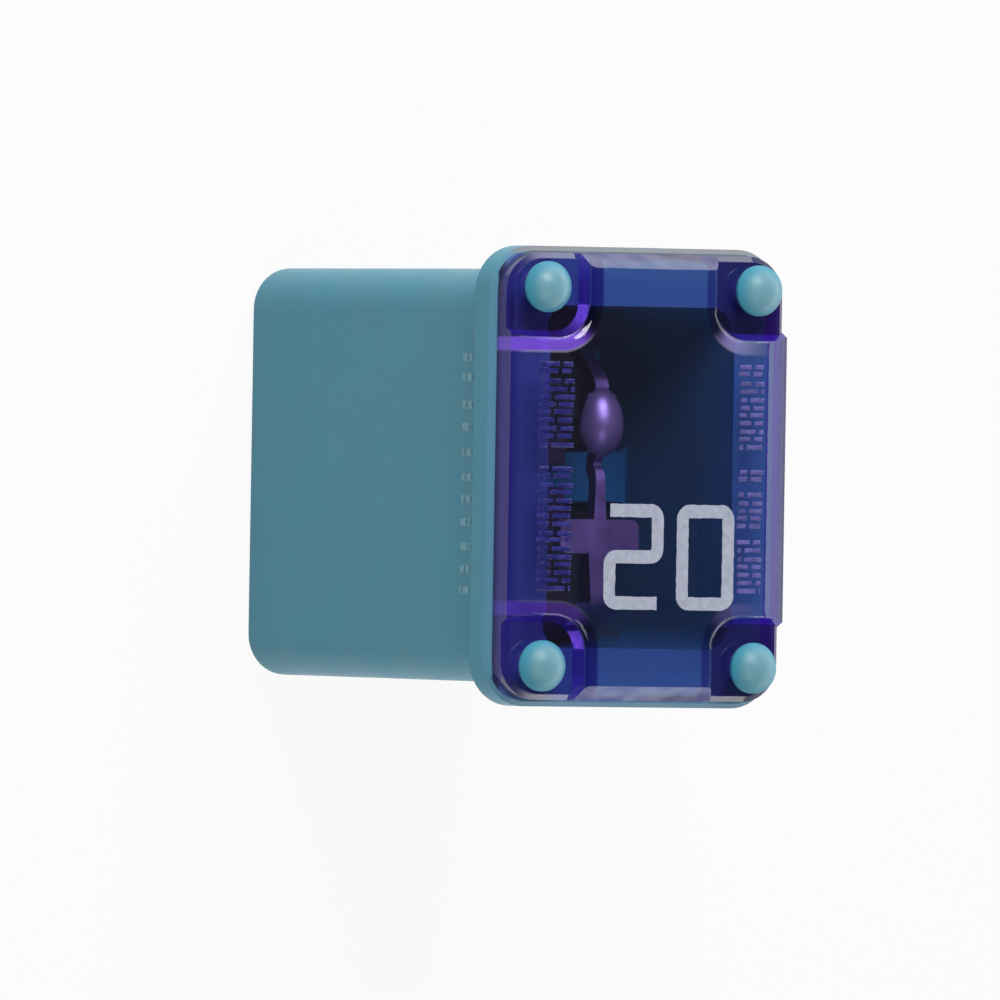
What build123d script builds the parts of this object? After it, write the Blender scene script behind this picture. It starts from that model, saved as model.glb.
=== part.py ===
"""Micro female fuse: a cartridge fuse with two female receptacles and a clear window.

It stands on its terminal end.  The origin is the centre of that end, +Z points up through the
window, X runs along the long side of the window and Y along the short side.  Millimetres.
"""

from build123d import *
import os

os.makedirs("parts", exist_ok=True)

# ---- Driving dimensions ----------------------------------------------------------------------

# housing moulding
body_length = 10.9
body_width = 7.4
body_corner = 1.1
body_height = 14.0
bottom_bevel = 0.2
flange_rim = 0.6
flange_thickness = 0.9
flange_corner = 1.2
flange_bevel = 0.13
wall = 0.95
chamber_corner = 0.6
septum = 1.3
septum_height = 9.0
floor_thickness = 0.9
cavity_corner = 0.3
rib_thickness = 0.6
rib_spacing = 1.7
rib_drop = 1.6

# blades that the fuse plugs onto, and their way in
blade_width = 2.8
blade_thickness = 0.8
entry_clearance_x = 0.3
entry_clearance_y = 0.4
entry_chamfer = 0.4

# heat-staked posts
post_diameter = 0.8
post_inset_x = 1.08
post_inset_y = 1.15
head_seat_diameter = 1.0
head_diameter = 1.34
head_flare = 0.3
head_rim = 0.1
head_height = 0.76

# window cap
cap_ledge = 0.18
cap_base = 0.65
cap_raise = 0.45
side_slope_run = 0.7
side_slope_drop = 0.3
end_slope_run = 0.38
end_slope_drop = 0.4
pocket_edge_round = 0.2
pocket_reach_x = 1.15
pocket_reach_y = 1.08
pocket_corner = 0.7
pocket_draft = 25
pocket_bevel = 0.15

# fuse element stamping
sheet = 0.4
inside_bend = 0.1
shoulder_half_width = 1.3
knee_drop = 2.3
pinch_gap = 0.6
pinch_height = 2.2
tip_spread = 0.6
finger_slit = 0.35
slit_drop = 3.0
link_drop = 2.4
slope_run = 0.85
riser_straight = 1.2
riser_width = 1.4
lead_width = 0.4
lead_straight = 0.25
seat_start = -2.2
seat_length = 1.55
seat_width = 0.8
dip_length = 0.6
dip_depth = 0.5
bridge_length = 1.17
bridge_tip_width = 0.22
bridge_width = 0.36
wing_length = 0.9
wing_width = 2.34
neck_width = 0.62
neck_end_width = 0.48
wing_round = 0.22
tab_overlap = 0.35

# tin pellet
pellet_tail = 1.05
pellet_nose = 0.8
pellet_half_width = 0.64
pellet_overhang = 0.12
pellet_sink = 0.14
pellet_stem = 0.45
pellet_foot = 0.75
pellet_foot_height = 0.18

# back-up spring clips
spring_sheet = 0.25
spring_width = 2.0
spring_press_height = 0.8
spring_tip_drop = 0.5
spring_tip_flare = 0.25

# clearances between pieces
post_clearance = 0.05
end_clearance = 0.12
spring_clearance = 0.05
rib_clearance = 0.1
tip_clearance = 0.1
stem_clearance = 0.02

# ---- Sizes that follow ------------------------------------------------------------------------

flange_length = body_length + 2 * flange_rim
flange_width = body_width + 2 * flange_rim
flange_top = body_height + flange_thickness

chamber_length = body_length - 2 * wall
chamber_width = body_width - 2 * wall
cavity_length = (chamber_length - septum) / 2
cavity_x = (septum + cavity_length) / 2
entry_length = blade_width + 2 * entry_clearance_x
entry_width = blade_thickness + 2 * entry_clearance_y

post_x = flange_length / 2 - post_inset_x
post_y = flange_width / 2 - post_inset_y

cap_length = flange_length - 2 * cap_ledge
cap_width = flange_width - 2 * cap_ledge
cap_corner = flange_corner - cap_ledge
pocket_floor = flange_top + cap_base
cap_top = pocket_floor + cap_raise

bend = inside_bend + sheet / 2
leg_width = cavity_length - 2 * (end_clearance + sheet + inside_bend)
crown_z = septum_height + sheet / 2
riser_top = crown_z + riser_straight
shoulder_y = shoulder_half_width - sheet / 2
knee_z = septum_height - knee_drop
pinch_y = pinch_gap / 2 + sheet / 2
tip_y = pinch_y + tip_spread
tip_z = floor_thickness + tip_clearance + sheet / 2
slit_top = septum_height - slit_drop
riser_x = cavity_x + leg_width / 2 + bend
slope_foot = riser_x - slope_run
lead_foot = seat_start - lead_straight
link_height = flange_top - link_drop
link_top = link_height + sheet / 2
link_underside = link_height - sheet / 2
seat_end = seat_start + seat_length
dip_end = seat_end + dip_length
bridge_end = dip_end + bridge_length
wing_end = bridge_end + wing_length
pellet_x = seat_end + pellet_overhang - pellet_nose

spring_bend = bend + sheet / 2 + spring_clearance + spring_sheet / 2
spring_offset = sheet / 2 + spring_clearance + spring_sheet / 2
spring_crown_z = crown_z + sheet / 2 + spring_sheet / 2
spring_press_z = pinch_height + spring_press_height
leg_lean = (shoulder_y - pinch_y) / (knee_z - pinch_height)
spring_press_y = pinch_y + leg_lean * spring_press_height + spring_offset

rib_face = shoulder_y + spring_offset + spring_sheet / 2 + rib_clearance
rib_depth = chamber_width / 2 - rib_face
rib_height = septum_height - rib_drop


# ---- Housing ----------------------------------------------------------------------------------

# One post with its formed head, modelled at the centre line and repeated at the four corners.
with BuildPart() as stake:
    with BuildSketch(Plane.XZ):
        with BuildLine():
            head_crown = (0, pocket_floor + head_height)
            head_brim = (head_diameter / 2, pocket_floor + head_flare + head_rim)
            TangentArc(head_crown, head_brim, tangent=(1, 0))
            Polyline(
                head_brim,
                (head_diameter / 2, pocket_floor + head_flare),
                (head_seat_diameter / 2, pocket_floor),
                (post_diameter / 2, pocket_floor),
                (post_diameter / 2, body_height),
                (0, body_height),
                head_crown,
            )
        make_face()
    revolve(axis=Axis.Z)

with BuildPart() as housing:
    # body, with its bottom edge eased
    with BuildSketch():
        RectangleRounded(body_length, body_width, body_corner)
    extrude(amount=body_height)
    chamfer(faces().sort_by(Axis.Z)[0].edges(), length=bottom_bevel)

    # flange round the window end
    with BuildSketch(Plane.XY.offset(body_height)):
        RectangleRounded(flange_length, flange_width, flange_corner)
    extrude(amount=flange_thickness)
    chamfer(faces().sort_by(Axis.Z)[-1].edges(), length=flange_bevel)

    # link chamber, open at the top, and the two receptacle cavities below it
    with BuildSketch(Plane.XY.offset(septum_height)):
        RectangleRounded(chamber_length, chamber_width, chamber_corner)
    extrude(amount=flange_top - septum_height, mode=Mode.SUBTRACT)
    with BuildSketch(Plane.XY.offset(floor_thickness)):
        with GridLocations(2 * cavity_x, 0, 2, 1):
            RectangleRounded(cavity_length, chamber_width, cavity_corner)
    extrude(amount=septum_height - floor_thickness, mode=Mode.SUBTRACT)

    # ribs that keep each receptacle on the centre line
    with BuildSketch(Plane.XY.offset(floor_thickness)):
        for side in (-1, 1):
            with Locations((side * cavity_x, 0)):
                with GridLocations(rib_spacing, 2 * rib_face + rib_depth, 2, 2):
                    Rectangle(rib_thickness, rib_depth)
    extrude(amount=rib_height - floor_thickness)

    # blade entries with a chamfered lead-in
    with BuildSketch():
        with GridLocations(2 * cavity_x, 0, 2, 1):
            Rectangle(entry_length, entry_width)
    extrude(amount=floor_thickness, mode=Mode.SUBTRACT)
    entry_edges = faces().sort_by(Axis.Z)[0].inner_wires().edges()
    chamfer(entry_edges, length=entry_chamfer)

    # posts and their formed heads
    with GridLocations(2 * post_x, 2 * post_y, 2, 2):
        add(stake.part)

housing.part.label = "housing"


# ---- Window cap -------------------------------------------------------------------------------

with BuildPart() as window_cap:
    with BuildSketch(Plane.XY.offset(flange_top)):
        RectangleRounded(cap_length, cap_width, cap_corner)
    extrude(amount=cap_top - flange_top)

    # a pocket with sloping walls round the post head at each corner, which leaves a raised cross
    with BuildSketch(Plane.XY.offset(pocket_floor)):
        with GridLocations(cap_length, cap_width, 2, 2):
            RectangleRounded(
                cap_length - 2 * (post_x - pocket_reach_x),
                cap_width - 2 * (post_y - pocket_reach_y),
                pocket_corner,
            )
    extrude(amount=cap_raise, taper=-pocket_draft, mode=Mode.SUBTRACT)
    raised = faces().filter_by(lambda face: face.center().Z > pocket_floor)
    pocket_walls = raised.filter_by(lambda face: 0 < round(face.normal_at().Z, 3) < 1)
    fillet(pocket_walls.edges() & raised.sort_by(Axis.Z)[-1].edges(), radius=pocket_edge_round)

    # edges of the cross sloped off, wide and shallow along the sides, steeper at the ends
    for upright_plane, span, depth, run, drop in (
        (Plane.YZ, cap_width, cap_length, side_slope_run, side_slope_drop),
        (Plane.XZ, cap_length, cap_width, end_slope_run, end_slope_drop),
    ):
        with BuildSketch(upright_plane):
            Polygon(
                (-span / 2, flange_top),
                (span / 2, flange_top),
                (span / 2, cap_top - drop),
                (span / 2 - run, cap_top),
                (run - span / 2, cap_top),
                (-span / 2, cap_top - drop),
                align=None,
            )
        extrude(amount=depth / 2, both=True, mode=Mode.INTERSECT)

    # edge of each pocket floor bevelled
    upright = faces().filter_by(lambda face: abs(face.normal_at().Z) < 0.01)
    pocket_rims = upright.edges().filter_by_position(Axis.Z, pocket_floor, pocket_floor)
    chamfer(pocket_rims, length=pocket_bevel)

    # holes for the posts
    with Locations((0, 0, pocket_floor)):
        with GridLocations(2 * post_x, 2 * post_y, 2, 2):
            Hole(radius=post_diameter / 2 + post_clearance, depth=cap_base)

window_cap.part.label = "window_cap"


# ---- Fuse element -----------------------------------------------------------------------------

# Outline of the link as blanked, from the lead-in to the pellet seat on to the outer risers:
# where each stretch starts and ends along X, and how wide it is there.
link_stretches = [
    (-slope_foot, seat_start, lead_width, lead_width),
    (seat_start, seat_end, seat_width, seat_width),
    (seat_end, bridge_end, bridge_tip_width, bridge_width),
    (bridge_end, wing_end, wing_width, wing_width),
    (wing_end, slope_foot, neck_width, neck_end_width),
]
riser_end = riser_x + sheet

with BuildPart() as fuse_element:
    # the strip, bent up from one receptacle, over the chamber and down to the other
    with BuildSketch(Plane.XZ):
        with BuildLine():
            FilletPolyline(
                (cavity_x, crown_z),
                (riser_x, crown_z),
                (riser_x, riser_top),
                (slope_foot, link_height),
                (dip_end, link_height),
                ((seat_end + dip_end) / 2, link_height - dip_depth),
                (seat_end, link_height),
                (lead_foot, link_height),
                (-riser_x, riser_top),
                (-riser_x, crown_z),
                (-cavity_x, crown_z),
                radius=bend,
            )
            offset(amount=sheet / 2, side=Side.BOTH)
        make_face()
    extrude(amount=shoulder_half_width, both=True)

    # its blanked outline: lead, pellet seat, bridge, wings, neck and the wide risers
    with BuildSketch(Plane.XY.offset(septum_height)):
        for start, end, start_width, end_width in link_stretches:
            Polygon(
                (start, -start_width / 2),
                (end, -end_width / 2),
                (end, end_width / 2),
                (start, start_width / 2),
                align=None,
            )
        for side in (-1, 1):
            with Locations((side * (slope_foot + riser_end) / 2, 0)):
                Rectangle(riser_end - slope_foot, riser_width)
        corners = vertices().group_by(Axis.Y)
        fillet(corners[0] + corners[-1], radius=wing_round)
    extrude(amount=link_top - septum_height, mode=Mode.INTERSECT)

    # hole that the pellet's stem fills
    with Locations((pellet_x, 0, link_top)):
        Hole(radius=pellet_stem / 2 + stem_clearance, depth=2 * sheet)

    for side in (-1, 1):
        # receptacle: a crown plate with a pinched and flared leg down each side
        with BuildSketch(Plane.YZ.offset(side * cavity_x)):
            with BuildLine():
                FilletPolyline(
                    (-tip_y, tip_z),
                    (-pinch_y, pinch_height),
                    (-shoulder_y, knee_z),
                    (-shoulder_y, crown_z),
                    (shoulder_y, crown_z),
                    (shoulder_y, knee_z),
                    (pinch_y, pinch_height),
                    (tip_y, tip_z),
                    radius=bend,
                )
                offset(amount=sheet / 2, side=Side.BOTH)
            make_face()
        extrude(amount=leg_width / 2, both=True)

        # slit that parts each leg into two fingers
        with BuildSketch(Plane.XZ):
            with Locations((side * cavity_x, slit_top / 2)):
                SlotOverall(slit_top, finger_slit, rotation=90)
        extrude(amount=body_width / 2, both=True, mode=Mode.SUBTRACT)

        # tab that seats the crown plate on the dividing wall
        tab_start = septum / 2 - tab_overlap
        with BuildSketch(Plane.XY.offset(septum_height)):
            with Locations((side * (tab_start + cavity_x) / 2, 0)):
                Rectangle(cavity_x - tab_start, riser_width)
        extrude(amount=sheet)

fuse_element.part.label = "fuse_element"


# ---- Tin pellet -------------------------------------------------------------------------------

with BuildPart() as tin_pellet:
    # egg-shaped bead with its narrow end towards the lead
    with BuildSketch(Plane.XZ):
        with BuildLine():
            middle = (pellet_x, link_top - pellet_sink)
            nose = EllipticalCenterArc(
                middle, pellet_nose, pellet_half_width, start_angle=0, arc_size=90
            )
            tail = EllipticalCenterArc(
                middle, pellet_tail, pellet_half_width, start_angle=90, arc_size=90
            )
            Line(tail @ 1, nose @ 0)
        make_face()
    revolve(axis=Axis((pellet_x, 0, link_top - pellet_sink), (1, 0, 0)))
    split(bisect_by=Plane.XY.offset(link_top), keep=Keep.TOP)

    # stem through the link and the foot that clinches it
    with BuildSketch(Plane.XY.offset(link_top)):
        with Locations((pellet_x, 0)):
            Circle(pellet_stem / 2)
    extrude(amount=-sheet)
    with BuildSketch(Plane.XY.offset(link_underside)):
        with Locations((pellet_x, 0)):
            Circle(pellet_foot / 2)
    extrude(amount=-pellet_foot_height)

tin_pellet.part.label = "tin_pellet"


# ---- Back-up spring clips ---------------------------------------------------------------------

for name, side in (("spring_clip_left", -1), ("spring_clip_right", 1)):
    with BuildPart() as spring_clip:
        with BuildSketch(Plane.YZ.offset(side * cavity_x)):
            with BuildLine():
                shoulder = shoulder_y + spring_offset
                tip = spring_press_y + spring_tip_flare
                FilletPolyline(
                    (-tip, spring_press_z - spring_tip_drop),
                    (-spring_press_y, spring_press_z),
                    (-shoulder, knee_z),
                    (-shoulder, spring_crown_z),
                    (shoulder, spring_crown_z),
                    (shoulder, knee_z),
                    (spring_press_y, spring_press_z),
                    (tip, spring_press_z - spring_tip_drop),
                    radius=spring_bend,
                )
                offset(amount=spring_sheet / 2, side=Side.BOTH)
            make_face()
        extrude(amount=spring_width / 2, both=True)
    spring_clip.part.label = name
    export_step(spring_clip.part, f"parts/{name}.step")

export_step(housing.part, "parts/housing.step")
export_step(window_cap.part, "parts/window_cap.step")
export_step(fuse_element.part, "parts/fuse_element.step")
export_step(tin_pellet.part, "parts/tin_pellet.step")
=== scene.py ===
"""Looks of the micro female fuse: finishes, rating, small marks, light, floor and camera."""

import math
from collections import namedtuple

import bmesh
import bpy
from mathutils import Matrix, Vector, noise


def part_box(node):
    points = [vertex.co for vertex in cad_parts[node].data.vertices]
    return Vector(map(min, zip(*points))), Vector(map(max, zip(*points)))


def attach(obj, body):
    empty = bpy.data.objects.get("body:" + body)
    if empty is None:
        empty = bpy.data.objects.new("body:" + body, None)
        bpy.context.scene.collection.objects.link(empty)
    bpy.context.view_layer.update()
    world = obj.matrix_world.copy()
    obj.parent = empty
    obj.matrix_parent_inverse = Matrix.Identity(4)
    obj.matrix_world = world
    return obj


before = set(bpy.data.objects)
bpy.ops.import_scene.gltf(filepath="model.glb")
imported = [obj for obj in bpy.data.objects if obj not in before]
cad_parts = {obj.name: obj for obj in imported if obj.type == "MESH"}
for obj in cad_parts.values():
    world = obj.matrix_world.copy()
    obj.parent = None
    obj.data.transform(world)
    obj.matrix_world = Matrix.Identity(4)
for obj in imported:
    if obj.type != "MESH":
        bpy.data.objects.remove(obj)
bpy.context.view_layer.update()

MM = 0.001

# ---- The view ---------------------------------------------------------------------------------
# The camera looks down on the window from the -Y side, turned so that -X is up in the picture.
VIEW_TILT = math.radians(28.0)
VIEW_YAW = math.radians(0.12)
VIEW_ROLL = math.radians(-0.94)
VIEW_DISTANCE = 610 * MM
VIEW_WIDTH = 26.56 * MM
VIEW_CENTRE_RIGHT = -0.491 * MM
VIEW_CENTRE_UP = -0.651 * MM
AIM = Vector((0, 0, 8.5 * MM))
SENSOR = 36.0

# ---- The light --------------------------------------------------------------------------------
# The tent's strengths, and the directions between which it goes from one to the next, each as
# a part of the unit vector towards the sky.
TENT_FRONT = 1.36
TENT_BACK = 4.0
TENT_BACK_Y = (-0.3, 0.42)
TENT_TOP = 0.03
TENT_TOP_Z = (0.05, 0.46)
TENT_BELOW = 0.35
TENT_BELOW_Z = (-0.16, -0.08)
WHITE_BAND_Z = (0.2, 0.1)

KEY_FROM = (-0.85, -0.1, 1.1)
KEY_POWER = 0.26
FILL_FROM = (0.6, -0.25, 1.1)
FILL_POWER = 0.055
LAMP_SIDE = 80 * MM
LAMP_DISTANCE = 160 * MM

FLOOR_SIDE = 500 * MM
FLOOR_DROP = 0.02 * MM
FLOOR_GREY = 0.55
FLOOR_WHITE = 0.93

# ---- Finishes of the housing ------------------------------------------------------------------
# A span is where a finish starts and where it is full.
TEAL = ((0.012, 0.204, 0.3), (0.017, 0.23, 0.335))
PALE_TEAL = ((0.1, 0.3, 0.38), (0.14, 0.36, 0.44))
TEAL_ROUGH = (0.36, 0.46)
GRAIN_DEPTH = 0.0035 * MM
WAVE_DEPTH = 0.01 * MM

# Painted highlight: the heads are paler where they face up.
HEAD_HIGHLIGHT = (0.12, 0.27, 0.33)
HEAD_HIGHLIGHT_Z = (15.45 * MM, 15.6 * MM)
HEAD_HIGHLIGHT_FACING = (0.55, 0.95)

# Painted highlight on the upward faces of the ledge round the window's foot, greyer still on the
# lip at the -X end, on the key lamp's side.
LEDGE_HIGHLIGHT = (0.075, 0.21, 0.3)
LEDGE_FACING = (0.4, 0.65)
LEDGE_BELOW = (-0.2 * MM, -0.14 * MM)
LEDGE_ABOVE = (0.1 * MM, 0.05 * MM)
LIP_HIGHLIGHT = (0.15, 0.17, 0.19)
LIP_HIGHLIGHT_X = (-5.8 * MM, -5.92 * MM)

# Under the window, the bluer -Y side and the dark -Y edge are painted shade.
LAND = (0.052, 0.17, 0.3)
LAND_LEFT_SHADE = (0.058, 0.095, 0.26)
LAND_LEFT_SHADE_Y = (-2.6 * MM, -2.8 * MM)
LAND_EDGE_SHADE = (0.004, 0.012, 0.05)
LAND_EDGE_SHADE_Y = (-3.8 * MM, -3.95 * MM)
LAND_RIGHT = (0.055, 0.02, 0.3)
LAND_RIGHT_Y = (3.7 * MM, 3.8 * MM)
LAND_BELOW = (-0.05 * MM, -0.02 * MM)
LAND_ABOVE = (0.05 * MM, 0.02 * MM)
LAND_BLUR = 0.05 * MM

# ---- Finishes of the window -------------------------------------------------------------------
WINDOW_CLEAR = (0.94, 0.93, 0.97)
WINDOW_DEEP_LEFT = (0.2, 0.1, 0.48)
WINDOW_DEEP_RIGHT = (0.09, 0.015, 0.14)
WINDOW_DEEP_Y = (-1.0 * MM, 1.0 * MM)
WINDOW_DEEP_DROP = (0.1 * MM, 0.3 * MM)
WINDOW_STEEP = (0.14, 0.035, 0.75)
STEEP_FROM = (0.25, 0.35)
STEEP_TO = (0.6, 0.5)
UNDERSIDE = (0.02 * MM, 0.05 * MM)
WINDOW_ROUGH = (0.02, 0.07)
FLOW_DEPTH = 0.006 * MM
WINDOW_SHADOW = (0.95, 0.95, 0.97, 1)
WINDOW_DEPTH = (0.31, 0.18, 0.8, 1)

# Round the pockets, bright violet on the crosswise parts is painted light and darker violet on the
# lengthwise parts is painted shade, fading out towards +Y.
RIM_SIDE_SHADE = (0.1, 0.03, 0.35)
RIM_END_LIGHT = (0.28, 0.12, 0.95)
RIM_END_SHARE = (0.5, 0.9)
RIM_FADE_Y = (3.7 * MM, 1.2 * MM)
RIM_REACH = 0.34 * MM
RIM_BLUR = 0.06 * MM
POCKET_X = 3.62 * MM
POCKET_Y = 1.88 * MM
POCKET_ROUND = 0.9 * MM

HAZE_SHARE = 0.008
STEEP_SHARE = 0.1
# Painted light: the rims scatter more on the -X side, the key lamp's side, so they read brighter
# there.
RIM_FAR_SHARE = 0.46
RIM_NEAR_SHARE = 0.12
RIM_NEAR_X = (0.5 * MM, -0.5 * MM)

EDGE_ROUGH = 0.6
EDGE_FACING = (0.5, 0.3)
EDGE_Y = (-4.0 * MM, -4.05 * MM)

# ---- Finishes of the metals and the ink -------------------------------------------------------
ALLOY = ((0.21, 0.16, 0.28), (0.26, 0.2, 0.33))
ALLOY_ROUGH = 0.46
ALLOY_GRAIN = (0.2, 1, 1)
TIN = ((0.27, 0.22, 0.33), (0.34, 0.28, 0.4))
TIN_ROUGH = 0.33
TIN_GRAIN = (1, 1, 1)
TIN_METALLIC = 0.55
STEEL = ((0.42, 0.41, 0.4), (0.55, 0.54, 0.52))
STEEL_ROUGH = 0.33
STEEL_GRAIN = (1, 1, 0.15)
METAL_GRAIN_DEPTH = 0.002 * MM
# Painted shade: the metal's colour darkens low down inside the chamber.
DEPTH_SHADE_SHARE = 0.4
DEPTH_SHADE_Z = (11.0 * MM, 9.6 * MM)
INK = ((0.27, 0.29, 0.37), (0.34, 0.37, 0.45))
INK_DEPTH = 0.004 * MM

# ---- The printed rating -----------------------------------------------------------------------
DIGIT_HEIGHT = 2.43 * MM
DIGIT_STROKE = 0.35 * MM
DIGIT_CORNER = 0.2 * MM
INK_THICKNESS = 0.012 * MM
INK_STEP = 0.05 * MM
RIPPLE_LENGTH = 0.13 * MM
RIPPLE_DEPTH = 0.016 * MM
RATING_MIDDLE_X = 2.08 * MM
TWO_WIDTH = 1.42 * MM
TWO_MIDDLE_Y = -0.54 * MM
ZERO_WIDTH = 1.36 * MM
ZERO_MIDDLE_Y = 1.6 * MM

# ---- Moulded marks ----------------------------------------------------------------------------
MARK_HEIGHT = 0.03 * MM
MARK_DROPPED = 0.45
WINDOW_MARK_PITCH = 0.21 * MM
WINDOW_MARK_COUNT = 29
WINDOW_MARK_WIDTH = 0.12 * MM
WINDOW_MARK_GAP = 0.1 * MM
LEFT_MARKS = (0.035, 0.036, 0.3)
LEFT_MARKS_Y = -2.9 * MM
LEFT_MARKS_REACH = 1.1 * MM
RIGHT_MARKS = (0.2, 0.18, 0.55)
RIGHT_MARKS_Y = 2.93 * MM
RIGHT_MARKS_REACH = 0.8 * MM
BODY_HALF_WIDTH = 3.7 * MM
BODY_MARK_PITCH = 0.62 * MM
BODY_MARK_COUNT = 11
BODY_MARK_WIDTH = 0.2 * MM
BODY_MARK_GAP = 0.03 * MM
BODY_MARKS_Z = 12.56 * MM
BODY_MARKS_REACH = 0.62 * MM

# A row of marks: its first one's middle, the step to the next, the way each one reaches and the
# way it stands out, and then how many there are and their sizes.
MarkRow = namedtuple("MarkRow", "name start step across out count reach width gap slot")


# ---- Node helpers -----------------------------------------------------------------------------


def new_material(name):
    """An empty node material, with its node tree and output."""
    material = bpy.data.materials.new(name)
    material.use_nodes = True
    tree = material.node_tree
    tree.nodes.clear()
    output = tree.nodes.new("ShaderNodeOutputMaterial")
    return material, tree, output


def node(tree, kind, **values):
    """A node of that kind, with the named sockets or settings set."""
    made = tree.nodes.new(kind)
    for key, value in values.items():
        label = key.replace("_", " ")
        if label in made.inputs:
            made.inputs[label].default_value = value
        else:
            setattr(made, key, value)
    return made


def surface_point(tree):
    """Where a point lies in the row frame and which way its face looks, each as X, Y and Z."""
    place = node(tree, "ShaderNodeTexCoord")
    at = node(tree, "ShaderNodeSeparateXYZ")
    facing = node(tree, "ShaderNodeSeparateXYZ")
    tree.links.new(place.outputs["Object"], at.inputs["Vector"])
    tree.links.new(place.outputs["Normal"], facing.inputs["Vector"])
    return at.outputs, facing.outputs


def object_noise(tree, scale, detail, stretch=(1, 1, 1)):
    """A noise texture in the row frame, so that it stays on the part; scale is per metre."""
    place = node(tree, "ShaderNodeTexCoord")
    mapping = node(tree, "ShaderNodeMapping", Scale=stretch)
    pattern = node(tree, "ShaderNodeTexNoise", Scale=scale, Detail=detail, Roughness=0.5)
    tree.links.new(place.outputs["Object"], mapping.inputs["Vector"])
    tree.links.new(mapping.outputs["Vector"], pattern.inputs["Vector"])
    return pattern.outputs["Fac"]


def ramp(tree, pattern, low, high):
    """A colour that runs from low to high as a noise pattern does."""
    made = tree.nodes.new("ShaderNodeValToRGB")
    first, last = made.color_ramp.elements
    first.position, last.position = 0.3, 0.7
    first.color, last.color = (*low, 1), (*high, 1)
    tree.links.new(pattern, made.inputs["Fac"])
    return made.outputs["Color"]


def remap(tree, value, span, result=(0.0, 1.0), smooth=False):
    """A number that goes over the result as the value goes over the span."""
    made = node(tree, "ShaderNodeMapRange", To_Min=result[0], To_Max=result[1])
    made.inputs["From Min"].default_value = span[0]
    made.inputs["From Max"].default_value = span[1]
    if smooth:
        made.interpolation_type = "SMOOTHSTEP"
    tree.links.new(value, made.inputs["Value"])
    return made.outputs["Result"]


def zone(tree, value, span, shift=0.0):
    """A mask that rises smoothly from 0 to 1 as the value goes over the span, which may be
    counted from a shifted origin."""
    return remap(tree, value, (span[0] + shift, span[1] + shift), smooth=True)


def vary(tree, pattern, result):
    """A number that runs over the result as a noise pattern does."""
    return remap(tree, pattern, (0.3, 0.7), result)


def maths(tree, operation, *values):
    """The result of a maths node on links or plain numbers."""
    made = node(tree, "ShaderNodeMath", operation=operation)
    for socket, value in zip(made.inputs, values):
        if isinstance(value, float):
            socket.default_value = value
        else:
            tree.links.new(value, socket)
    return made.outputs["Value"]


def overlap(tree, *masks):
    """Where all these masks are 1; a plain number among them sets how strong the mask is."""
    made = masks[0]
    for mask in masks[1:]:
        made = maths(tree, "MULTIPLY", made, mask)
    return made


def blend(tree, factor, first, second):
    """A colour that goes from first to second as the factor does; each is a link or a colour."""
    made = node(tree, "ShaderNodeMix", data_type="RGBA")
    tree.links.new(factor, made.inputs["Factor"])
    for label, value in (("A", first), ("B", second)):
        socket = [i for i in made.inputs if i.name == label and i.type == "RGBA"][0]
        if isinstance(value, tuple):
            socket.default_value = (*value, 1)
        else:
            tree.links.new(value, socket)
    return [o for o in made.outputs if o.type == "RGBA"][0]


def mix_shaders(tree, factor, first, second):
    """A shader that goes from first to second as the factor does."""
    made = node(tree, "ShaderNodeMixShader")
    for socket, value in zip(made.inputs, (factor, first, second)):
        tree.links.new(value, socket)
    return made.outputs["Shader"]


def bump(tree, height, distance, under=None):
    """A bump from a height, its distance in metres, laid over another bump if one is given."""
    made = node(tree, "ShaderNodeBump", Distance=distance, Strength=1.0)
    tree.links.new(height, made.inputs["Height"])
    if under is not None:
        tree.links.new(under, made.inputs["Normal"])
    return made.outputs["Normal"]


# ---- Finishes of the housing ------------------------------------------------------------------


def at_window_foot(tree, at, below, above):
    """A mask for a thin layer round the height at which the window stands on the housing."""
    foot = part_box("window_cap")[0].z
    return overlap(tree, zone(tree, at["Z"], below, foot), zone(tree, at["Z"], above, foot))


def under_window(tree, at):
    """A mask for the top of the housing's wall where the window covers it."""
    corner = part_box("window_cap")[1]
    covered = at_window_foot(tree, at, LAND_BELOW, LAND_ABOVE)
    for axis, edge in (("X", corner.x), ("Y", corner.y)):
        away = maths(tree, "ABSOLUTE", at[axis])
        covered = overlap(tree, covered, zone(tree, away, (edge, edge - LAND_BLUR)))
    return covered


def land_colour(tree, at):
    """The wall under the window: bluer on the -Y side and darker at its two long edges; the blue
    -Y side and the dark -Y edge are painted shade.
    """
    land = blend(tree, zone(tree, at["Y"], LAND_LEFT_SHADE_Y), LAND, LAND_LEFT_SHADE)
    land = blend(tree, zone(tree, at["Y"], LAND_EDGE_SHADE_Y), land, LAND_EDGE_SHADE)
    return blend(tree, zone(tree, at["Y"], LAND_RIGHT_Y), land, LAND_RIGHT)


def housing_colour(tree, at, facing, moulded):
    """The moulded colour, with a painted highlight on the upward faces of the formed heads and of
    the ledge, and the covered wall worked in.
    """
    # painted highlight on the heads' upward faces
    heads = overlap(tree, zone(tree, at["Z"], HEAD_HIGHLIGHT_Z), zone(tree, facing["Z"], HEAD_HIGHLIGHT_FACING))
    colour = blend(tree, heads, moulded, HEAD_HIGHLIGHT)
    # painted highlight: the ledge is paler where it faces up and greyer on its -X lip
    layer = at_window_foot(tree, at, LEDGE_BELOW, LEDGE_ABOVE)
    ledge = overlap(tree, layer, zone(tree, facing["Z"], LEDGE_FACING))
    lip = blend(tree, zone(tree, at["X"], LIP_HIGHLIGHT_X), LEDGE_HIGHLIGHT, LIP_HIGHLIGHT)
    colour = blend(tree, ledge, colour, lip)
    return blend(tree, under_window(tree, at), colour, land_colour(tree, at))


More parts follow.
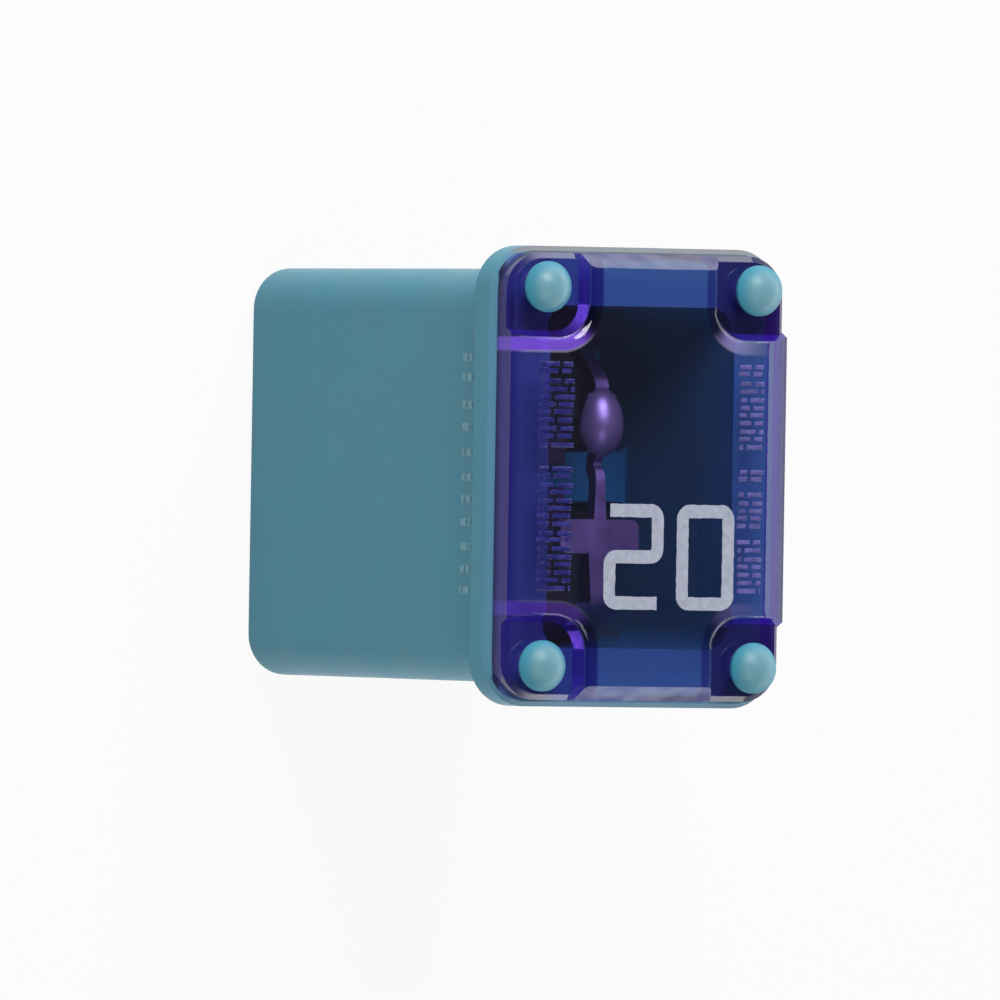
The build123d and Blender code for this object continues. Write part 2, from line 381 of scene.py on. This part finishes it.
def teal_plastic(name, low, high):
    """Satin moulded plastic: faint mottling, gentle waves and a fine spark-eroded grain."""
    material, tree, output = new_material(name)
    shader = node(tree, "ShaderNodeBsdfPrincipled", IOR=1.4, Sheen_Weight=0.1, Sheen_Roughness=0.4)
    at, facing = surface_point(tree)
    clouds = object_noise(tree, 420, detail=4)
    grain = object_noise(tree, 9000, detail=2)
    waves = bump(tree, object_noise(tree, 700, detail=1), WAVE_DEPTH)
    colour = housing_colour(tree, at, facing, ramp(tree, clouds, low, high))
    tree.links.new(colour, shader.inputs["Base Color"])
    tree.links.new(vary(tree, clouds, TEAL_ROUGH), shader.inputs["Roughness"])
    tree.links.new(bump(tree, grain, GRAIN_DEPTH, under=waves), shader.inputs["Normal"])
    tree.links.new(shader.outputs["BSDF"], output.inputs["Surface"])
    return material


# ---- Finishes of the window -------------------------------------------------------------------


def pocket_rim(tree, at):
    """A mask for the strip round each pocket of the window, and one for its crosswise parts."""
    corner = node(tree, "ShaderNodeCombineXYZ")
    gaps = []
    for axis, edge in (("X", POCKET_X), ("Y", POCKET_Y)):
        gap = maths(tree, "SUBTRACT", edge + POCKET_ROUND, maths(tree, "ABSOLUTE", at[axis]))
        gaps.append(maths(tree, "MAXIMUM", gap, 0.0))
        tree.links.new(gaps[-1], corner.inputs[axis])
    reach = node(tree, "ShaderNodeVectorMath", operation="LENGTH")
    tree.links.new(corner.outputs["Vector"], reach.inputs[0])
    distance = maths(tree, "SUBTRACT", reach.outputs["Value"], POCKET_ROUND)
    inside = zone(tree, distance, (-RIM_BLUR, 0.0))
    outside = zone(tree, distance, (RIM_REACH + RIM_BLUR, RIM_REACH - RIM_BLUR))
    share = maths(tree, "DIVIDE", gaps[0], reach.outputs["Value"])
    return overlap(tree, inside, outside), zone(tree, share, RIM_END_SHARE)


def window_masks(tree, at, facing):
    """Masks of the window: what lies below its top, its slopes, its upright left side, the
    pockets' rims, and the rims' crosswise parts."""
    foot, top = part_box("window_cap")
    above_foot = zone(tree, at["Z"], UNDERSIDE, foot.z)
    start, full = WINDOW_DEEP_DROP
    dropped = overlap(tree, zone(tree, at["Z"], (top.z - start, top.z - full)), above_foot)
    tilt = maths(tree, "ABSOLUTE", facing["Z"])
    steep = overlap(tree, zone(tree, tilt, STEEP_FROM), zone(tree, tilt, STEEP_TO))
    edge = overlap(tree, zone(tree, tilt, EDGE_FACING), zone(tree, at["Y"], EDGE_Y), above_foot)
    strip, end_on = pocket_rim(tree, at)
    rim = overlap(tree, strip, zone(tree, at["Y"], RIM_FADE_Y), above_foot)
    return dropped, steep, edge, rim, end_on


def window_colour(tree, at, dropped, steep, rim, end_on):
    """Nearly clear on top, and violet below it, on the slopes and round the pockets; round the
    pockets the crosswise parts are painted light and the lengthwise parts painted shade.
    """
    across = zone(tree, at["Y"], WINDOW_DEEP_Y)
    deep = blend(tree, across, WINDOW_DEEP_LEFT, WINDOW_DEEP_RIGHT)
    colour = blend(tree, dropped, WINDOW_CLEAR, deep)
    colour = blend(tree, steep, colour, WINDOW_STEEP)
    # painted light and shade round the pockets
    return blend(tree, rim, colour, blend(tree, end_on, RIM_SIDE_SHADE, RIM_END_LIGHT))


def window_haze(tree, at, dropped, steep, rim, end_on):
    """How much of the light the window scatters and doesn't let through."""
    # painted light: more scatter on the -X side makes those rims brighter
    near = zone(tree, at["X"], RIM_NEAR_X)
    glow = remap(tree, near, (0.0, 1.0), (RIM_NEAR_SHARE, RIM_FAR_SHARE))
    haze = overlap(tree, dropped, HAZE_SHARE)
    for more in (overlap(tree, steep, STEEP_SHARE), overlap(tree, rim, end_on, glow)):
        haze = maths(tree, "MAXIMUM", haze, more)
    return haze


def violet_window():
    """Clear violet plastic: darker with depth, faintly hazy on its slopes, glossy but for its
    upright left side."""
    material, tree, output = new_material("violet_window")
    shader = node(tree, "ShaderNodeBsdfPrincipled", IOR=1.5)
    at, facing = surface_point(tree)
    dropped, steep, edge, rim, end_on = window_masks(tree, at, facing)
    flow = object_noise(tree, 500, detail=2)
    colour = window_colour(tree, at, dropped, steep, rim, end_on)
    haze = window_haze(tree, at, dropped, steep, rim, end_on)
    rough = maths(tree, "MAXIMUM", vary(tree, flow, WINDOW_ROUGH), overlap(tree, edge, EDGE_ROUGH))
    tree.links.new(colour, shader.inputs["Base Color"])
    tree.links.new(maths(tree, "SUBTRACT", 1.0, haze), shader.inputs["Transmission Weight"])
    tree.links.new(rough, shader.inputs["Roughness"])
    tree.links.new(bump(tree, flow, FLOW_DEPTH), shader.inputs["Normal"])

    # light from the lamps and the tent reaches the inside straight through
    through = node(tree, "ShaderNodeBsdfTransparent", Color=WINDOW_SHADOW)
    rays = node(tree, "ShaderNodeLightPath")
    surface = shader.outputs["BSDF"]
    for kind in ("Is Shadow Ray", "Is Diffuse Ray"):
        surface = mix_shaders(tree, rays.outputs[kind], surface, through.outputs["BSDF"])
    depth = node(tree, "ShaderNodeVolumeAbsorption", Color=WINDOW_DEPTH, Density=480.0)
    tree.links.new(surface, output.inputs["Surface"])
    tree.links.new(depth.outputs["Volume"], output.inputs["Volume"])
    return material


def mark_plastic(name, colour):
    """The window's plastic where small marks stand on it: it scatters more light there."""
    material, tree, output = new_material(name)
    shader = node(tree, "ShaderNodeBsdfPrincipled", IOR=1.5, Transmission_Weight=0.45)
    patches = object_noise(tree, 2600, detail=3)
    low = tuple(0.55 * part for part in colour)
    tree.links.new(ramp(tree, patches, low, colour), shader.inputs["Base Color"])
    tree.links.new(vary(tree, patches, (0.12, 0.35)), shader.inputs["Roughness"])
    tree.links.new(shader.outputs["BSDF"], output.inputs["Surface"])
    return material


# ---- Finishes of the metals and the ink -------------------------------------------------------


def metal(name, colours, rough, stretch, metallic=1.0):
    """Bare or plated metal: rolled grain one way, an uneven shine, and darker down inside the
    chamber, a painted shade.
    """
    material, tree, output = new_material(name)
    shader = node(tree, "ShaderNodeBsdfPrincipled", Metallic=metallic)
    at, _ = surface_point(tree)
    cloud = object_noise(tree, 1500, detail=3)
    grain = object_noise(tree, 6000, detail=2, stretch=stretch)
    # painted shade: darker colour low down inside the chamber
    deep_shade = tuple(DEPTH_SHADE_SHARE * part for part in colours[0])
    colour = blend(tree, zone(tree, at["Z"], DEPTH_SHADE_Z), ramp(tree, cloud, *colours), deep_shade)
    tree.links.new(colour, shader.inputs["Base Color"])
    tree.links.new(vary(tree, cloud, (rough - 0.06, rough + 0.08)), shader.inputs["Roughness"])
    tree.links.new(bump(tree, grain, METAL_GRAIN_DEPTH), shader.inputs["Normal"])
    tree.links.new(shader.outputs["BSDF"], output.inputs["Surface"])
    return material


def white_ink():
    """Pad-printed ink: nearly flat, a little thin in places."""
    material, tree, output = new_material("white_ink")
    shader = node(tree, "ShaderNodeBsdfPrincipled", Roughness=0.55)
    thin = object_noise(tree, 5000, detail=3)
    tree.links.new(ramp(tree, thin, *INK), shader.inputs["Base Color"])
    tree.links.new(bump(tree, thin, INK_DEPTH), shader.inputs["Normal"])
    tree.links.new(shader.outputs["BSDF"], output.inputs["Surface"])
    return material


# ---- Pieces -----------------------------------------------------------------------------------


def dress(piece, material):
    """Gives a piece this one material."""
    piece.data.materials.clear()
    piece.data.materials.append(material)


def finished_piece(name, mesh, material):
    """A piece of the part made from a bmesh, which is used up."""
    bmesh.ops.recalc_face_normals(mesh, faces=mesh.faces)
    data = bpy.data.meshes.new(name)
    mesh.to_mesh(data)
    mesh.free()
    piece = bpy.data.objects.new(name, data)
    bpy.context.scene.collection.objects.link(piece)
    dress(piece, material)
    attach(piece, "root")
    return piece


# ---- The rating -------------------------------------------------------------------------------


def rounded_path(points, radius, closed, steps=5):
    """The points of a path with an arc of that radius at each corner."""
    count = len(points)
    path = []
    for i, corner in enumerate(points):
        if not closed and i in (0, count - 1):
            path.append(corner)
            continue
        to_last = (points[i - 1] - corner).normalized()
        to_next = (points[(i + 1) % count] - corner).normalized()
        half = to_last.angle(to_next) / 2
        reach = radius / math.tan(half)
        centre = corner + (to_last + to_next).normalized() * (radius / math.sin(half))
        start = corner + to_last * reach - centre
        end = corner + to_next * reach - centre
        for k in range(steps + 1):
            t = k / steps
            spoke = (start * (1 - t) + end * t).normalized() * radius
            path.append(centre + spoke)
    return path


def fine_steps(path, closed, step):
    """The path again, with a point at least every step."""
    out = []
    last = len(path) if closed else len(path) - 1
    for i in range(last):
        a, b = path[i], path[(i + 1) % len(path)]
        parts = max(1, round((b - a).length / step))
        out += [a.lerp(b, k / parts) for k in range(parts)]
    if not closed:
        out.append(path[-1])
    return out


def stroke_edges(path, closed):
    """The two edge points of the stroke at each point of its path, slightly uneven."""
    count = len(path)
    edges = []
    for i, p in enumerate(path):
        before = path[i - 1] if closed or i > 0 else p
        after = path[(i + 1) % count] if closed or i < count - 1 else p
        along = (after - before).normalized()
        side = Vector((-along.y, along.x))
        pair = []
        for sign in (-1, 1):
            ripple = noise.noise(Vector((p.x, p.y, sign * 0.5 * MM)) / RIPPLE_LENGTH)
            pair.append(p + side * sign * (DIGIT_STROKE / 2 + ripple * RIPPLE_DEPTH))
        edges.append(pair)
    return edges


def ink_stroke(name, corners, closed, z, material):
    """A printed stroke along a path of (right, up) points, where right is +Y and up is -X."""
    path = fine_steps(rounded_path(corners, DIGIT_CORNER, closed), closed, INK_STEP)
    mesh = bmesh.new()
    heights = (z, z + INK_THICKNESS)
    rings = [
        [mesh.verts.new((-e.y, e.x, height)) for e in pair for height in heights]
        for pair in stroke_edges(path, closed)
    ]
    last = len(rings) if closed else len(rings) - 1
    for i in range(last):
        a, b = rings[i], rings[(i + 1) % len(rings)]
        for j, k in ((1, 3), (3, 2), (2, 0), (0, 1)):
            mesh.faces.new((a[j], a[k], b[k], b[j]))
    if not closed:
        for ring in (rings[0], rings[-1]):
            mesh.faces.new([ring[j] for j in (0, 2, 3, 1)])
    finished_piece(name, mesh, material)


def digit_points(shape, middle_y, width):
    """Corner points of a digit given on a grid of 0..1 across and -1..1 up."""
    low_x = middle_y - width / 2
    return [
        Vector((low_x + across * width, -RATING_MIDDLE_X + up * DIGIT_HEIGHT / 2))
        for across, up in shape
    ]


def make_rating():
    """The plain number 20 on the window."""
    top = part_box("window_cap")[1].z
    two = ((0, 1), (1, 1), (1, 0), (0, 0), (0, -1), (1, -1))
    zero = ((0, 1), (1, 1), (1, -1), (0, -1))
    ink = white_ink()
    ink_stroke("rating_2", digit_points(two, TWO_MIDDLE_Y, TWO_WIDTH), False, top, ink)
    ink_stroke("rating_0", digit_points(zero, ZERO_MIDDLE_Y, ZERO_WIDTH), True, top, ink)


# ---- Moulded marks ----------------------------------------------------------------------------


def add_bar(mesh, origin, along, row, length):
    """A raised bar with sloping sides, centred on origin, its long side the way marks reach."""
    rings = []
    for grow, lift in ((0.5, 0.0), (0.3, 1.0)):
        side = along * row.width * grow
        end = row.across * (length / 2 - row.width * (0.5 - grow))
        middle = origin + row.out * MARK_HEIGHT * lift
        corners = (side + end, side - end, -side - end, -side + end)
        rings.append([mesh.verts.new(middle + corner) for corner in corners])
    base, top = rings
    mesh.faces.new(base)
    mesh.faces.new(top)
    for i in range(4):
        j = (i + 1) % 4
        mesh.faces.new((base[i], base[j], top[j], top[i]))


def make_marks(row, material):
    """A row of short moulded bars, plain marks without letters, each in two lengths with a gap
    that wanders.  Some are left out and the rest slip a little from their places."""
    mesh = bmesh.new()
    along = row.step.normalized()
    for i in range(row.count):
        shift = noise.noise(Vector((i * 0.73, row.reach / MM, 0.5)))
        slip = noise.noise(Vector((i * 1.91, row.reach / MM, 4.5)))
        if slip > MARK_DROPPED:
            continue
        middle = row.start + row.step * (i + 0.3 * slip) + row.across * row.reach * 0.1 * slip
        split = 0.5 + 0.45 * shift
        for centre, length in ((split / 2, split), ((1 + split) / 2, 1 - split)):
            bar = middle + row.across * row.reach * (centre - 0.5)
            add_bar(mesh, bar, along, row, length * row.reach - row.gap)
    piece = finished_piece(row.name, mesh, material)


def window_marks():
    """A row of marks along each long side of the window."""
    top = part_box("window_cap")[1].z
    step = Vector((WINDOW_MARK_PITCH, 0, 0))
    first = -WINDOW_MARK_PITCH * (WINDOW_MARK_COUNT - 1) / 2
    for name, y, reach, colour in (
        ("marks_left", LEFT_MARKS_Y, LEFT_MARKS_REACH, LEFT_MARKS),
        ("marks_right", RIGHT_MARKS_Y, RIGHT_MARKS_REACH, RIGHT_MARKS),
    ):
        row = MarkRow(
            name=name,
            start=Vector((first, y, top)),
            step=step,
            across=Vector((0, 1, 0)),
            out=Vector((0, 0, 1)),
            count=WINDOW_MARK_COUNT,
            reach=reach,
            width=WINDOW_MARK_WIDTH,
            gap=WINDOW_MARK_GAP,
            slot="violet_window",
        )
        make_marks(row, mark_plastic(name, colour))


def body_marks():
    """A row of marks on the front of the body, just below the flange."""
    first = -BODY_MARK_PITCH * (BODY_MARK_COUNT - 1) / 2
    row = MarkRow(
        name="marks_body",
        start=Vector((first, -BODY_HALF_WIDTH, BODY_MARKS_Z)),
        step=Vector((BODY_MARK_PITCH, 0, 0)),
        across=Vector((0, 0, 1)),
        out=Vector((0, -1, 0)),
        count=BODY_MARK_COUNT,
        reach=BODY_MARKS_REACH,
        width=BODY_MARK_WIDTH,
        gap=BODY_MARK_GAP,
        slot="teal_plastic",
    )
    make_marks(row, teal_plastic("pale_plastic", *PALE_TEAL))


# ---- Floor, light and camera ------------------------------------------------------------------


def background_rays(tree):
    """A mask for camera rays, and one for the rays that metal and glass see by."""
    rays = node(tree, "ShaderNodeLightPath").outputs
    shiny = maths(tree, "MAXIMUM", rays["Is Glossy Ray"], rays["Is Transmission Ray"])
    return rays["Is Camera Ray"], shiny


def make_floor():
    """A plain pale floor, seen as white directly, in metal and through glass, that still takes
    the part's soft shadow."""
    bpy.ops.mesh.primitive_plane_add(size=FLOOR_SIDE, location=(0, 0, -FLOOR_DROP))
    floor = bpy.context.object
    floor.name = "floor"
    material, tree, output = new_material("floor")
    grey = (FLOOR_GREY, FLOOR_GREY, FLOOR_GREY, 1)
    lit = node(tree, "ShaderNodeBsdfDiffuse", Color=grey).outputs["BSDF"]
    white = node(tree, "ShaderNodeEmission", Color=(1, 1, 1, 1), Strength=1.0).outputs["Emission"]
    share = overlap(tree, maths(tree, "MAXIMUM", *background_rays(tree)), FLOOR_WHITE)
    tree.links.new(mix_shaders(tree, share, lit, white), output.inputs["Surface"])
    dress(floor, material)


def make_world():
    """A light tent: bright low down behind the part, dimmer in front, and dark overhead.  The
    camera sees it as white, and metal and glass see it at least as white low down."""
    world = bpy.data.worlds.new("tent")
    bpy.context.scene.world = world
    world.use_nodes = True
    tree = world.node_tree
    tree.nodes.clear()
    output = tree.nodes.new("ShaderNodeOutputWorld")
    place = node(tree, "ShaderNodeTexCoord")
    way = node(tree, "ShaderNodeSeparateXYZ")
    tree.links.new(place.outputs["Generated"], way.inputs["Vector"])
    across, up = way.outputs["Y"], way.outputs["Z"]
    round_about = remap(tree, across, TENT_BACK_Y, (TENT_FRONT, TENT_BACK), smooth=True)
    overhead = remap(tree, up, TENT_TOP_Z, (1.0, TENT_TOP), smooth=True)
    under = remap(tree, up, TENT_BELOW_Z, (TENT_BELOW, 1.0))
    camera, shiny = background_rays(tree)
    band = overlap(tree, shiny, zone(tree, up, WHITE_BAND_Z))
    strength = maths(tree, "MAXIMUM", overlap(tree, overhead, under, round_about), band)
    tent = node(tree, "ShaderNodeBackground", Color=(1, 1, 1, 1))
    white = node(tree, "ShaderNodeBackground", Color=(1, 1, 1, 1), Strength=1.0)
    tree.links.new(strength, tent.inputs["Strength"])
    seen = mix_shaders(tree, camera, tent.outputs["Background"], white.outputs["Background"])
    tree.links.new(seen, output.inputs["Surface"])


def soft_lamp(name, direction, power):
    """A square lamp that faces the part from that direction."""
    data = bpy.data.lights.new(name, "AREA")
    data.shape = "SQUARE"
    data.size = LAMP_SIDE
    data.energy = power
    lamp = bpy.data.objects.new(name, data)
    towards = Vector(direction).normalized()
    lamp.location = AIM + towards * LAMP_DISTANCE
    lamp.rotation_mode = "QUATERNION"
    lamp.rotation_quaternion = (-towards).to_track_quat("-Z", "Y")
    bpy.context.scene.collection.objects.link(lamp)


def make_camera():
    """The camera, aimed so that the part sits where the picture has it."""
    sin, cos = math.sin, math.cos
    back = Vector((
        -sin(VIEW_YAW),
        -sin(VIEW_TILT) * cos(VIEW_YAW),
        cos(VIEW_TILT) * cos(VIEW_YAW),
    ))
    level_right = Vector((-1, 0, 0)).cross(back).normalized()
    level_up = back.cross(level_right)
    right = level_right * cos(VIEW_ROLL) - level_up * sin(VIEW_ROLL)
    up = level_right * sin(VIEW_ROLL) + level_up * cos(VIEW_ROLL)
    data = bpy.data.cameras.new("camera")
    data.sensor_width = SENSOR
    data.lens = SENSOR * VIEW_DISTANCE / VIEW_WIDTH
    data.clip_start = VIEW_DISTANCE / 100
    data.clip_end = VIEW_DISTANCE * 100
    camera = bpy.data.objects.new("camera", data)
    centre = AIM + right * VIEW_CENTRE_RIGHT + up * VIEW_CENTRE_UP
    turn = Matrix((right, up, back)).transposed().to_4x4()
    camera.matrix_world = Matrix.Translation(centre + back * VIEW_DISTANCE) @ turn
    bpy.context.scene.collection.objects.link(camera)
    bpy.context.scene.camera = camera


# ---- The scene --------------------------------------------------------------------------------


def dress_solids(nodes):
    """Gives each solid of the frame its finish."""
    spring_steel = metal("spring_steel", STEEL, STEEL_ROUGH, STEEL_GRAIN)
    dress(nodes["housing"], teal_plastic("teal_plastic", *TEAL))
    dress(nodes["window_cap"], violet_window())
    dress(nodes["fuse_element"], metal("tinned_alloy", ALLOY, ALLOY_ROUGH, ALLOY_GRAIN))
    dress(nodes["tin_pellet"], metal("tin", TIN, TIN_ROUGH, TIN_GRAIN, TIN_METALLIC))
    dress(nodes["spring_clip_left"], spring_steel)
    dress(nodes["spring_clip_right"], spring_steel)


dress_solids(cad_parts)
make_rating()
window_marks()
body_marks()

make_floor()
make_world()
soft_lamp("key", KEY_FROM, KEY_POWER)
soft_lamp("fill", FILL_FROM, FILL_POWER)
make_camera()

bpy.context.scene.view_settings.view_transform = "Standard"
